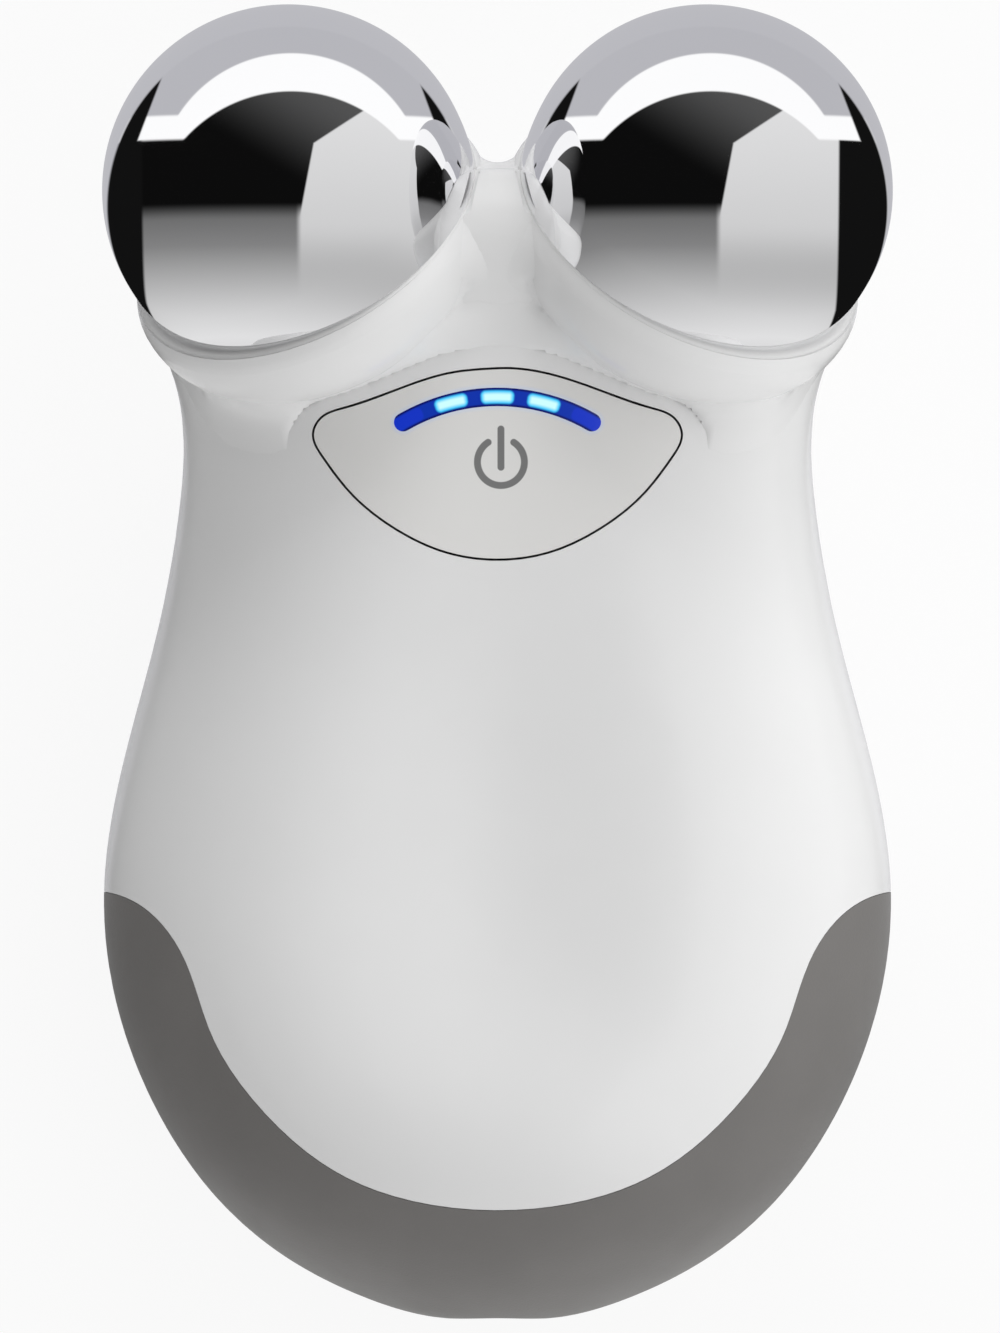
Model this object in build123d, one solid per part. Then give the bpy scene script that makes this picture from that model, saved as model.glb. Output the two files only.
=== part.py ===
from build123d import *
import os
from math import asin, cos, degrees, radians, sin, sqrt

# Facial toning device, in millimetres. It lies on its back: +Z leaves the front face, +Y points from the
# grip to the two electrodes, and +X is to the right of someone who looks at the front.
# Heights are measured along +Y from the lower end of the grip. Drops are measured along an electrode's
# axis, from the centre of its ball into the housing.

# ---------------------------------------------------------------- electrodes
BALL_RADIUS = 16.1
BALL_SPREAD = 18.1           # ball centre from the middle plane
BALL_HEIGHT = 97.85          # ball centre above the lower end
BALL_FORWARD = 30.5          # ball centre in front of the rest plane
BALL_AXIS = (0.41, 0.72, 0.56)   # outward, upward and forward parts of the right electrode's axis
BALL_WALL = 0.9
SKIRT_DROP = 4.65            # where the ball meets the rim of its cup
SKIRT_TAPER = 0.5
SPIGOT_STEP = 1.9            # from the skirt in to the spigot
SPIGOT_LENGTH = 3.0
SPIGOT_GAP = 0.1
SPIGOT_WALL = 1.5
POST_RADIUS = 3.0
POST_HOLE_DEPTH = 6.0
SEAL_THICKNESS = 0.6
BALL_GAP = 0.1               # between the ball and the saddle beside it
CUP_LIP = 0.45               # how far the cup's rim stands outside the skirt
CUP_SHIFT = 0.5              # the cup stands this far to the outer, lower side of the electrode's axis
CUP_SWELL = 0.4              # from the rim out to the cup's full radius
CUP_SWELL_DROP = 1.5         # drop from the rim to the cup's full radius
CUP_TURN = 8.0               # round between the cup's side and its underside
CUP_FLOOR = 1.8

# ---------------------------------------------------------------- housing
WALL = 2.2
PARTING = 11.0               # plane of the joint between the two shells
END_RADIUS = 33.0            # the lower end, seen from the front
END_FLAT_ANGLE = 7.0         # half angle of the small flat at the very end
END_ANGLES = (20, 34, 48, 63)
SIDE_LEVEL = 18.0            # level of the widest line of the lower body
BACK_DEPTH = 18.8            # from the widest line to the back
FRONT_DEPTH = 19.9           # from the widest line to the front
BACK_FULLNESS = 1.25         # how soon the back reaches its full depth
FRONT_FULLNESS = 1.45        # how soon the front reaches its full depth
FRONT_SQUARENESS = 0.5
BACK_SQUARENESS = 0.3
DISH_SHARE = 0.62            # half width of the dish as a share of the body's
# height, half width, back, widest line, front, dish
BODY_STATIONS = (
    (27.0, 33.0, -0.7, 18.0, 37.7, 1.6),
    (36.5, 34.2, -0.8, 18.0, 36.9, 2.3),
    (48.0, 32.6, -0.8, 17.8, 35.7, 2.0),
    (60.0, 29.5, -0.4, 17.6, 34.4, 1.0),
    (70.0, 27.7, 1.0, 18.0, 33.5, 0.3),
    (79.0, 27.5, 5.0, 19.5, 33.1, 0.0),
    (84.0, 29.0, 7.8, 21.0, 33.8, 0.0),
    (87.8, 30.2, 10.0, 22.0, 35.2, 0.0),
    (92.0, 26.0, 12.5, 23.0, 36.6, 0.0),
    (96.0, 15.0, 16.0, 23.8, 36.2, 0.0),
    (98.6, 8.0, 19.5, 24.2, 34.2, 0.0),
    (99.7, 3.5, 22.0, 24.4, 31.0, 0.0),
)
HEAD_ROUNDING = 24.0         # length over which the body rounds off between the cups
CORNER_LENGTH = 12.0         # length over which an end's section turns from an ellipse to the full form
CURVE_STEPS = 8

SHELL_SEAL_WIDTH = 0.7
SHELL_SEAL_DEPTH = 0.8

# ---------------------------------------------------------------- grip cover
GRIP_THICKNESS = 0.9
GRIP_GAP = 0.05
# right half of the edge: distance from the middle, height
GRIP_EDGE = ((0, 9.7), (6.4, 10.3), (13.2, 12.6), (20.5, 18.5), (24.8, 25.0), (27.2, 31.6), (30.4, 35.6), (34.6, 37.1))

# ---------------------------------------------------------------- power button
BUTTON_TRAVEL = 0.6
BUTTON_GAP = 0.2
# right half of the lens-shaped outline, from its top to its bottom: distance from the middle, height
BUTTON_OUTLINE = (
    (0, 82.35),
    (4.1, 81.95),
    (8.7, 80.5),
    (13.2, 78.95),
    (15.2, 78.1),
    (15.85, 76.8),
    (15.0, 74.8),
    (12.4, 71.5),
    (8.7, 68.6),
    (4.5, 66.65),
    (0, 66.0),
)
BUTTON_PLATE_LEVEL = 29.4    # underside of the plate
BUTTON_FLANGE_LEVEL = 28.0   # top of the retaining flange
BUTTON_FLANGE = 1.2
BUTTON_FLANGE_THICKNESS = 1.2
BUTTON_RIM = 1.4             # wall of the button's skirt
STEM_RADIUS = 2.2
STEM_HEIGHT = 74.3

# ---------------------------------------------------------------- lights
ARC_RADIUS = 16.3
ARC_TOP = 79.97              # height of the arc's middle line where it crosses the middle plane
ARC_HALF_ANGLE = 30.0
WINDOW_WIDTH = 1.6
WINDOW_BELOW = 2.2           # how far the light guide hangs below the plate
LIGHT_COUNT = 5
LIGHT_PITCH = 14.2           # degrees between lights
LIGHT_SIZE = (1.6, 1.4, 1.1)
BAFFLE_WIDTH = 4.0
BAFFLE_HEIGHT = 2.3
BAFFLE_CELL = 2.3
BAFFLE_END_ANGLE = 37.0

# ---------------------------------------------------------------- board
BOARD_DROP = 3.2             # from the flange of the button down to the board
BOARD_THICKNESS = 1.2
BOARD_WIDTH = 40.0
BOARD_LOW = 33.0
BOARD_HIGH = 83.0
BOARD_CORNER = 6.0
BOARD_POSTS = ((16.4, 38.0), (16.9, 60.0))
BOARD_POST_RADIUS = 2.4
SWITCH_SIDE = 6.0
SWITCH_GAP = 0.3             # left over the switch when the button is pressed home
PLUNGER_RADIUS = 1.6
PLUNGER_GAP = 0.1
CHIP_SIZE = (7.0, 7.0, 1.0)
COIL_RADIUS = 3.6
COIL_HEIGHT = 3.4
CAPACITOR_RADIUS = 2.0
CAPACITOR_HEIGHT = 4.0
BUZZER_RADIUS = 4.5
BUZZER_HEIGHT = 3.0
SOCKET_SIZE = (6.0, 4.0, 3.0)
CHIP_PLACE = (0.0, 52.0)
COIL_PLACE = (9.0, 43.0)
SOCKET_PLACE = (9.0, 66.0)
BUZZER_PLACE = (-9.0, 70.0)
CAPACITOR_PLACES = ((-9.0, 42.0), (-9.0, 48.0))

# ---------------------------------------------------------------- battery
CELL_SIZE = (30.0, 40.0, 8.0)
CELL_LOW = 26.0
CELL_LEVEL = 5.5
PAD_THICKNESS = 1.0
RIB_SPACING = 16.0
RIB_WIDTH = 1.5
STRAP_WIDTH = 8.0
STRAP_THICKNESS = 1.0
STRAP_POST_RADIUS = 2.4
STRAP_POST_GAP = 2.0

# ---------------------------------------------------------------- charging inlet
PORT_LEVEL = 18.0
PORT_RADIUS = 3.2
PORT_RECESS = 0.3
PORT_LENGTH = 3.3
COLLAR_RADIUS = 4.4
COLLAR_GAP = 0.1
JACK_SIZE = 9.0
JACK_LENGTH = 11.0
JACK_BORE_RADIUS = 3.8
JACK_BACK = 2.0
JACK_PIN_RADIUS = 1.0
JACK_PIN_SETBACK = 3.6       # from the jack's mouth to the tip of the pin
NEST_WALL = 1.5
NEST_GAP = 0.05
NEST_LENGTH = 4.0

# ---------------------------------------------------------------- screws and leads
SCREW_GAP = 0.1
CASE_SCREW_ANGLE = 48.6      # from the lower end, about the centre of the end's round
CASE_SCREW_INSET = 11.8      # in from the outline of the lower end
CASE_SCREW_RADIUS = 1.2
CASE_SCREW_HEAD = (2.2, 1.4)
CASE_BOSS_RADIUS = 3.2
CASE_SCREW_SEAT = 8.0
CASE_SCREW_BITE = 7.0
SMALL_SCREW_RADIUS = 0.9
SMALL_SCREW_HEAD = (1.8, 1.2)
SMALL_SCREW_BITE = 5.0
ELECTRODE_SCREW_RADIUS = 1.2
ELECTRODE_SCREW_HEAD = (2.4, 1.6)
RING_RADIUS = 3.8
RING_THICKNESS = 0.5
LEAD_RADIUS = 0.5
LEAD_BEND = 5.0              # how far a lead keeps its first direction
ELECTRODE_LEAD_OFFSET = 3.2  # from an electrode's axis to its lead
ELECTRODE_LEAD_END = (13.5, 80.5)
BATTERY_LEADS = (8.0, 10.0)
BATTERY_LEAD_LEVEL = 9.5
CHARGE_LEAD_OFFSET = 2.0
CHARGE_LEAD_LEVEL = 15.3
CHARGE_LEAD_END = 36.0

# ---------------------------------------------------------------- worked out from the above
END = -(BALL_HEIGHT + BALL_RADIUS) / 2
HEAD_TOP = BODY_STATIONS[-1][0]
SKIRT_RADIUS = BALL_RADIUS - SKIRT_TAPER
SPIGOT_RADIUS = SKIRT_RADIUS - SPIGOT_STEP
SPIGOT_DROP = SKIRT_DROP + SPIGOT_LENGTH
FLOOR_DROP = SPIGOT_DROP + SEAL_THICKNESS
UNDER_FLOOR_DROP = FLOOR_DROP + CUP_FLOOR
RIM_RADIUS = SKIRT_RADIUS + CUP_LIP
CUP_RADIUS = RIM_RADIUS + CUP_SWELL
CUP_ROUND_DROP = SKIRT_DROP + CUP_SWELL_DROP
FLANGE_BOTTOM = BUTTON_FLANGE_LEVEL - BUTTON_FLANGE_THICKNESS
BOARD_TOP = FLANGE_BOTTOM - BOARD_DROP
BOARD_UNDERSIDE = BOARD_TOP - BOARD_THICKNESS
SWITCH_HEIGHT = BOARD_DROP - BUTTON_TRAVEL - SWITCH_GAP
ARC_CENTRE = ARC_TOP - ARC_RADIUS
CASE_SCREW_REACH = END_RADIUS - CASE_SCREW_INSET
CASE_SCREW_PLACE = (
    CASE_SCREW_REACH * sin(radians(CASE_SCREW_ANGLE)),
    END_RADIUS * cos(radians(END_FLAT_ANGLE)) - CASE_SCREW_REACH * cos(radians(CASE_SCREW_ANGLE)),
)
BIG = 200.0


def at(x, height, z):
    """Location of a point given by its height above the lower end."""
    return Pos(x, END + height, z)


def upright(x, height, low, high, radius):
    """Round bar along Z from level low to level high."""
    return at(x, height, (low + high) / 2) * Cylinder(radius, high - low)


def block(x, height, low, size):
    """Box whose underside is at level low, centred on x and on a height."""
    return at(x, height, low + size[2] / 2) * Box(*size)


def slab(low, high):
    """Everything between two levels."""
    return Pos(0, 0, (low + high) / 2) * Box(BIG, BIG, high - low)


def single(shape):
    """The one solid of a shape."""
    return shape.solids().sort_by(SortBy.VOLUME)[-1]


# ---------------------------------------------------------------- outer form
def body_stations():
    """Stations from the lower end to the top of the saddle between the cups."""
    stations = []
    for angle in (END_FLAT_ANGLE, *END_ANGLES):
        height = END_RADIUS * (cos(radians(END_FLAT_ANGLE)) - cos(radians(angle)))
        half_width = END_RADIUS * sin(radians(angle))
        back = SIDE_LEVEL - BACK_DEPTH * sin(radians(min(90, BACK_FULLNESS * angle)))
        front = SIDE_LEVEL + FRONT_DEPTH * sin(radians(min(90, FRONT_FULLNESS * angle)))
        stations.append((height, half_width, back, SIDE_LEVEL, front, 0.0))
    return stations + list(BODY_STATIONS)


def half_section(half_width, side, crown, squareness, dish):
    """Points of one half of a section, from its right edge over its crown, short of its left edge."""
    points = []
    for step in range(CURVE_STEPS):
        angle = radians(180 * step / CURVE_STEPS)
        reach = half_width * abs(cos(angle)) ** (2 / squareness)
        x = reach if cos(angle) > 0 else -reach
        z = side + (crown - side) * sin(angle) ** (2 / squareness)
        share = reach / (DISH_SHARE * half_width)
        if share < 1:
            z -= dish * (1 - share**2) ** 2
        points.append((x, z))
    return points


def body_form(inset):
    """The body without its cups, set in by the same distance all round."""
    sections = []
    for height, half_width, back, side, front, dish in body_stations():
        end_lean = max(0.0, 1 - height / END_RADIUS)
        head_lean = max(0.0, 1 - (HEAD_TOP - height) / HEAD_ROUNDING)
        lean = end_lean - head_lean
        depth = inset * sqrt(1 - lean**2)
        fullness = min(1.0, min(height, HEAD_TOP - height) / CORNER_LENGTH)
        width = half_width - depth
        upper = half_section(width, side, front - depth, 2 + FRONT_SQUARENESS * fullness, dish)
        lower = half_section(width, side, back + depth, 2 + BACK_SQUARENESS * fullness, 0)
        loop = upper + [(-x, z) for x, z in lower]
        start = len(loop) * 3 // 4
        curve = Edge.make_spline([Vector(*point) for point in loop[start:] + loop[:start]], periodic=True)
        plane = Plane(origin=(0, END + height + inset * lean, 0), x_dir=(1, 0, 0), z_dir=(0, -1, 0))
        sections.append(plane * Wire([curve]))
    return Solid.make_loft(sections)


def electrode_place(hand):
    """Location of an electrode: its ball's centre, with +Z along the axis; hand is -1 left, 1 right."""
    axis = Vector(hand * BALL_AXIS[0], BALL_AXIS[1], BALL_AXIS[2]).normalized()
    centre = Vector(hand * BALL_SPREAD, END + BALL_HEIGHT, BALL_FORWARD)
    return Plane(origin=centre, x_dir=axis.cross(Vector(0, 0, 1)) * hand, z_dir=axis)


def turned(hand, outline):
    """Solid of revolution about an electrode's axis, from an outline of (radius, -drop)."""
    return electrode_place(hand) * revolve(Plane.XZ * make_face(outline), Axis.Z)


def cup_form(hand, inset):
    """One cup: a swelling rim above a rounded underside that sinks into the body."""
    rim = (RIM_RADIUS - inset, -SKIRT_DROP)
    shoulder = (CUP_RADIUS - inset, -CUP_ROUND_DROP)
    swell_radius = (CUP_SWELL_DROP**2 + CUP_SWELL**2) / (2 * CUP_SWELL)
    swell_angle = degrees(asin(CUP_SWELL_DROP / swell_radius))
    turn = CUP_TURN - inset
    flat = (shoulder[0] - turn, shoulder[1] - turn)
    outline = (
        Line((0, rim[1]), rim)
        + CenterArc((shoulder[0] - swell_radius, shoulder[1]), swell_radius, 0, swell_angle)
        + CenterArc((flat[0], shoulder[1]), turn, 270, 90)
        + Polyline(flat, (0, flat[1]), (0, rim[1]))
    )
    return electrode_place(hand) * Pos(CUP_SHIFT, 0, 0) * revolve(Plane.XZ * make_face(outline), Axis.Z)


def washer(hand, outer, inner, top_drop, bottom_drop):
    """Ring about an electrode's axis between two drops."""
    ring = Cylinder(outer, bottom_drop - top_drop)
    if inner > 0:
        ring -= Cylinder(inner, bottom_drop - top_drop)
    return electrode_place(hand) * (Pos(0, 0, -(top_drop + bottom_drop) / 2) * ring)


def full_form(inset):
    """The whole housing's form, with the saddle and both cups."""
    return body_form(inset) + cup_form(-1, inset) + cup_form(1, inset)


# ---------------------------------------------------------------- outlines drawn on the front
def mirrored(points):
    """A right half followed by its mirror image, from left to right."""
    left = [(-x, y) for x, y in points[:0:-1]]
    return left + list(points)


def grip_region(grow):
    """Prism of everything below the edge of the grip cover."""
    points = [(x, END + height + grow) for x, height in mirrored(GRIP_EDGE)]
    reach = BIG / 2
    edge = Spline(points)
    rest = Polyline(points[-1], (reach, points[-1][1]), (reach, -reach), (-reach, -reach), (-reach, points[0][1]), points[0])
    return extrude(Pos(0, 0, -reach) * make_face(edge + rest), BIG)


def button_outline(grow):
    """Lens-shaped outline of the power button, moved outward by the same distance all round."""
    right = [Vector(x, END + height) for x, height in BUTTON_OUTLINE]
    left = [Vector(-point.X, point.Y) for point in right[-2:0:-1]]
    loop = right + left
    points = []
    for index, point in enumerate(loop):
        along = loop[(index + 1) % len(loop)] - loop[index - 1]
        points.append(point + Vector(-along.Y, along.X).normalized() * grow)
    return make_face(Spline(points, periodic=True))


def button_prism(grow, low, high):
    """The button's outline between two levels."""
    return extrude(Pos(0, 0, low) * button_outline(grow), high - low)


def arc_prism(width, half_angle, low, high):
    """Bar that follows the arc of lights, with rounded ends."""
    centre = (0, END + ARC_CENTRE)
    path = CenterArc(centre, ARC_RADIUS, 90 - half_angle, 2 * half_angle)
    ring = Pos(0, END + ARC_CENTRE) * (Circle(ARC_RADIUS + width / 2) - Circle(ARC_RADIUS - width / 2))
    reach = BIG / 2
    wedge_points = [
        centre,
        (reach * sin(radians(half_angle)), centre[1] + reach * cos(radians(half_angle))),
        (-reach * sin(radians(half_angle)), centre[1] + reach * cos(radians(half_angle))),
    ]
    sector = ring & make_face(Polyline(*wedge_points, close=True))
    ends = Sketch() + [Pos(*(path @ end)) * Circle(width / 2) for end in (0, 1)]
    return extrude(Pos(0, 0, low) * (sector + ends), high - low)


def light_places():
    """Location of each light along the arc, turned to face the arc's centre."""
    middle = (LIGHT_COUNT - 1) / 2
    places = []
    for index in range(LIGHT_COUNT):
        angle = (index - middle) * LIGHT_PITCH
        places.append(at(0, ARC_CENTRE, BOARD_TOP) * Rot(0, 0, -angle) * Pos(0, ARC_RADIUS, 0))
    return places


# ---------------------------------------------------------------- housing
OUTER = single(full_form(0) - slab(-BIG, 0))
BOSS_LIMIT = body_form(WALL / 2)
GRIP_SEAT = body_form(GRIP_THICKNESS + GRIP_GAP)


def both_hands(make):
    """The left and right copies of a piece, as separate solids."""
    return Compound(children=[single(make(-1)), single(make(1))])


def uprights(places, low, high, radius):
    """Round bars along Z at each place and at its mirror image."""
    return [upright(hand * x, height, low, high, radius) for x, height in places for hand in (-1, 1)]


def grown_to_wall(shapes):
    """Bosses or ribs, trimmed inside the wall that they grow from."""
    return [shape & BOSS_LIMIT for shape in shapes]


def housing_blank():
    """Both shells as one hollow form, with an electrode socket and a floor in each cup."""
    hands = (-1, 1)
    room = full_form(WALL) - slab(-BIG, WALL)
    room -= [washer(hand, CUP_RADIUS + CUP_SHIFT, 0, SKIRT_DROP - WALL, UNDER_FLOOR_DROP) for hand in hands]
    sockets = [washer(hand, SPIGOT_RADIUS + SPIGOT_GAP, 0, 0, FLOOR_DROP) for hand in hands]
    sockets += [washer(hand, BALL_RADIUS + BALL_GAP, 0, -BALL_RADIUS, SKIRT_DROP) for hand in hands]
    hole = ELECTRODE_SCREW_RADIUS + SCREW_GAP
    holes = [washer(hand, hole, 0, FLOOR_DROP - 1, UNDER_FLOOR_DROP + 1) for hand in hands]
    grip_recess = grip_region(GRIP_GAP) - GRIP_SEAT
    return OUTER - room - [*sockets, *holes] - grip_recess


def shell_seal():
    """Cord seal that follows the wall just below the joint between the shells."""
    middle = (GRIP_THICKNESS + GRIP_GAP + WALL) / 2
    level = slab(PARTING - SHELL_SEAL_DEPTH, PARTING)
    outer = full_form(middle - SHELL_SEAL_WIDTH / 2) & level
    inner = full_form(middle + SHELL_SEAL_WIDTH / 2) & level
    return single(outer - inner)


def port_bar(radius, low, high):
    """Round bar along the charging inlet's axis between two heights."""
    return at(0, (low + high) / 2, PORT_LEVEL) * Rot(90, 0, 0) * Cylinder(radius, high - low)


def port_collar():
    """Tube round the charging inlet, with the nest that holds the jack behind it."""
    inner_end = PORT_RECESS + PORT_LENGTH
    pocket_size = JACK_SIZE + 2 * NEST_GAP
    nest_size = pocket_size + 2 * NEST_WALL
    nest_middle = inner_end + (NEST_LENGTH - NEST_WALL) / 2
    nest = at(0, nest_middle, PORT_LEVEL) * Box(nest_size, NEST_LENGTH + NEST_WALL, nest_size)
    pocket = at(0, inner_end + NEST_LENGTH, PORT_LEVEL) * Box(pocket_size, 2 * NEST_LENGTH, pocket_size)
    return port_bar(COLLAR_RADIUS, PORT_RECESS, inner_end) + (nest & BOSS_LIMIT) - pocket


def front_shell(blank):
    case_places = [CASE_SCREW_PLACE]
    posts = grown_to_wall(uprights(BOARD_POSTS, BOARD_TOP, BIG / 2, BOARD_POST_RADIUS))
    bosses = grown_to_wall(uprights(case_places, PARTING, BIG / 2, CASE_BOSS_RADIUS))
    post_hole = BOARD_TOP + SMALL_SCREW_BITE + 1
    boss_hole = PARTING + CASE_SCREW_BITE + 1
    cuts = [
        *uprights(BOARD_POSTS, BOARD_TOP - 1, post_hole, SMALL_SCREW_RADIUS + SCREW_GAP),
        *uprights(case_places, PARTING - 1, boss_hole, CASE_SCREW_RADIUS + SCREW_GAP),
        port_bar(PORT_RADIUS, -1, PORT_RECESS + PORT_LENGTH + 1),
    ]
    shell = (blank & slab(PARTING, BIG / 2)) + [port_collar(), *posts, *bosses] - cuts
    shell -= button_prism(BUTTON_GAP, FLANGE_BOTTOM, BIG / 2)
    flange_room = BUTTON_FLANGE + 2 * BUTTON_GAP
    shell -= button_prism(flange_room, FLANGE_BOTTOM - 1, BUTTON_FLANGE_LEVEL + BUTTON_GAP)
    return single(shell)


def rear_shell(blank, seal):
    case_places = [CASE_SCREW_PLACE]
    strap_places = [(STRAP_X, STRAP_HEIGHT)]
    bosses = grown_to_wall(uprights(case_places, 0, PARTING, CASE_BOSS_RADIUS))
    posts = grown_to_wall(uprights(strap_places, 0, CELL_TOP, STRAP_POST_RADIUS))
    rib_size = (RIB_WIDTH, CELL_SIZE[1] * 0.75, PAD_LEVEL - WALL / 2)
    ribs = [block(x, STRAP_HEIGHT, WALL / 2, rib_size) for x in (-RIB_SPACING / 2, RIB_SPACING / 2)]
    post_hole = CELL_TOP - SMALL_SCREW_BITE - 1
    cuts = [
        *uprights(strap_places, post_hole, CELL_TOP + 1, SMALL_SCREW_RADIUS + SCREW_GAP),
        *uprights(case_places, -1, CASE_SCREW_SEAT, CASE_SCREW_HEAD[0] + 2 * SCREW_GAP),
        *uprights(case_places, 0, PARTING + 1, CASE_SCREW_RADIUS + SCREW_GAP),
    ]
    shell = (blank & slab(-1, PARTING)) + [*bosses, *posts, *ribs] - cuts
    return single(shell - seal)


def grip_cover():
    cover = (OUTER & grip_region(0)) - body_form(GRIP_THICKNESS)
    return single(cover - port_bar(COLLAR_RADIUS + COLLAR_GAP, -1, PORT_RECESS + PORT_LENGTH))


# ---------------------------------------------------------------- electrodes
def electrode(hand):
    """Hollow ball with a short skirt, a spigot that enters the cup and a post for its screw."""
    inner = BALL_RADIUS - BALL_WALL
    spigot_inner = SPIGOT_RADIUS - SPIGOT_WALL
    hole = ELECTRODE_SCREW_RADIUS + SCREW_GAP
    hole_top = POST_HOLE_DEPTH - FLOOR_DROP
    post_top = sqrt(inner**2 - POST_RADIUS**2)
    outline = (
        CenterArc((0, 0), BALL_RADIUS, 0, 90)
        + Polyline(
            (BALL_RADIUS, 0),
            (SKIRT_RADIUS, -SKIRT_DROP),
            (SPIGOT_RADIUS, -SKIRT_DROP),
            (SPIGOT_RADIUS, -SPIGOT_DROP),
            (spigot_inner, -SPIGOT_DROP),
            (spigot_inner, -SKIRT_DROP),
            (inner, 0),
        )
        + ThreePointArc((inner, 0), (inner * sin(radians(45)), inner * sin(radians(45))), (POST_RADIUS, post_top))
        + Polyline(
            (POST_RADIUS, post_top),
            (POST_RADIUS, -FLOOR_DROP),
            (hole, -FLOOR_DROP),
            (hole, hole_top),
            (0, hole_top),
            (0, BALL_RADIUS),
        )
    )
    return turned(hand, outline)


def electrode_screw(hand):
    head_top = UNDER_FLOOR_DROP + RING_THICKNESS
    head = washer(hand, ELECTRODE_SCREW_HEAD[0], 0, head_top, head_top + ELECTRODE_SCREW_HEAD[1])
    return head + washer(hand, ELECTRODE_SCREW_RADIUS, 0, FLOOR_DROP - POST_HOLE_DEPTH + 1, head_top)


# ---------------------------------------------------------------- power button and lights
def power_button():
    cap = button_prism(0, BUTTON_FLANGE_LEVEL, BIG / 2) & OUTER
    cap += button_prism(BUTTON_FLANGE, FLANGE_BOTTOM, BUTTON_FLANGE_LEVEL)
    cap -= button_prism(-BUTTON_RIM, FLANGE_BOTTOM - 1, BUTTON_PLATE_LEVEL)
    cap += upright(0, STEM_HEIGHT, FLANGE_BOTTOM, BUTTON_PLATE_LEVEL, STEM_RADIUS)
    return single(cap - arc_prism(WINDOW_WIDTH, ARC_HALF_ANGLE, BUTTON_PLATE_LEVEL - 1, BIG / 2))


def led_window():
    guide = arc_prism(WINDOW_WIDTH, ARC_HALF_ANGLE, BUTTON_PLATE_LEVEL - WINDOW_BELOW, BIG / 2)
    return single(guide & OUTER)


def led_baffle():
    bar = arc_prism(BAFFLE_WIDTH, BAFFLE_END_ANGLE, BOARD_TOP, BOARD_TOP + BAFFLE_HEIGHT)
    for place in light_places():
        bar -= place * Box(BAFFLE_CELL, BAFFLE_CELL, 4 * BAFFLE_HEIGHT)
    return bar


def status_leds():
    lights = [place * Pos(0, 0, LIGHT_SIZE[2] / 2) * Box(*LIGHT_SIZE) for place in light_places()]
    return Compound(children=[single(light) for light in lights])


def tactile_switch():
    body = block(0, STEM_HEIGHT, BOARD_TOP, (SWITCH_SIDE, SWITCH_SIDE, SWITCH_HEIGHT))
    low = BOARD_TOP + PLUNGER_GAP
    return body - upright(0, STEM_HEIGHT, low, BOARD_TOP + 2 * SWITCH_HEIGHT, PLUNGER_RADIUS + PLUNGER_GAP)


def switch_plunger():
    low = BOARD_TOP + BUTTON_TRAVEL + 2 * PLUNGER_GAP
    return upright(0, STEM_HEIGHT, low, FLANGE_BOTTOM, PLUNGER_RADIUS)


# ---------------------------------------------------------------- board
def main_board():
    length = BOARD_HIGH - BOARD_LOW
    outline = Pos(0, END + (BOARD_LOW + BOARD_HIGH) / 2) * RectangleRounded(BOARD_WIDTH, length, BOARD_CORNER)
    board = extrude(Pos(0, 0, BOARD_UNDERSIDE) * outline, BOARD_THICKNESS)
    for x, height in BOARD_POSTS:
        for hand in (-1, 1):
            board -= upright(hand * x, height, BOARD_UNDERSIDE - 1, BOARD_TOP + 1, SMALL_SCREW_RADIUS + SCREW_GAP)
    return board


def hung(x, height, size):
    """Box-shaped part soldered under the board."""
    return block(x, height, BOARD_UNDERSIDE - size[2], size)


def hung_can(x, height, radius, depth):
    """Round part soldered under the board."""
    return upright(x, height, BOARD_UNDERSIDE - depth, BOARD_UNDERSIDE, radius)


def output_capacitors():
    cans = [hung_can(x, height, CAPACITOR_RADIUS, CAPACITOR_HEIGHT) for x, height in CAPACITOR_PLACES]
    return Compound(children=[single(can) for can in cans])


def board_screws():
    screws = []
    for x, height in BOARD_POSTS:
        for hand in (-1, 1):
            low = BOARD_UNDERSIDE - SMALL_SCREW_HEAD[1]
            head = upright(hand * x, height, low, BOARD_UNDERSIDE, SMALL_SCREW_HEAD[0])
            shank = upright(hand * x, height, BOARD_UNDERSIDE, BOARD_TOP + SMALL_SCREW_BITE, SMALL_SCREW_RADIUS)
            screws.append(single(head + shank))
    return Compound(children=screws)


# ---------------------------------------------------------------- battery
CELL_TOP = CELL_LEVEL + CELL_SIZE[2]
PAD_LEVEL = CELL_LEVEL - PAD_THICKNESS
STRAP_HEIGHT = CELL_LOW + CELL_SIZE[1] / 2
STRAP_X = CELL_SIZE[0] / 2 + STRAP_POST_GAP + STRAP_POST_RADIUS
STRAP_TOP = CELL_TOP + STRAP_THICKNESS


def battery_cell():
    cell = block(0, STRAP_HEIGHT, CELL_LEVEL, CELL_SIZE)
    return fillet(cell.edges().filter_by(Axis.Y), CELL_SIZE[2] / 4)


def battery_pad():
    return block(0, STRAP_HEIGHT, PAD_LEVEL, (CELL_SIZE[0] * 0.8, CELL_SIZE[1] * 0.8, PAD_THICKNESS))


def battery_strap():
    strap = block(0, STRAP_HEIGHT, CELL_TOP, (2 * (STRAP_X + STRAP_POST_RADIUS), STRAP_WIDTH, STRAP_THICKNESS))
    strap = fillet(strap.edges().filter_by(Axis.Z), STRAP_WIDTH / 3)
    for x in (-STRAP_X, STRAP_X):
        strap -= upright(x, STRAP_HEIGHT, CELL_TOP - 1, STRAP_TOP + 1, SMALL_SCREW_RADIUS + SCREW_GAP)
    return strap


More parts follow.
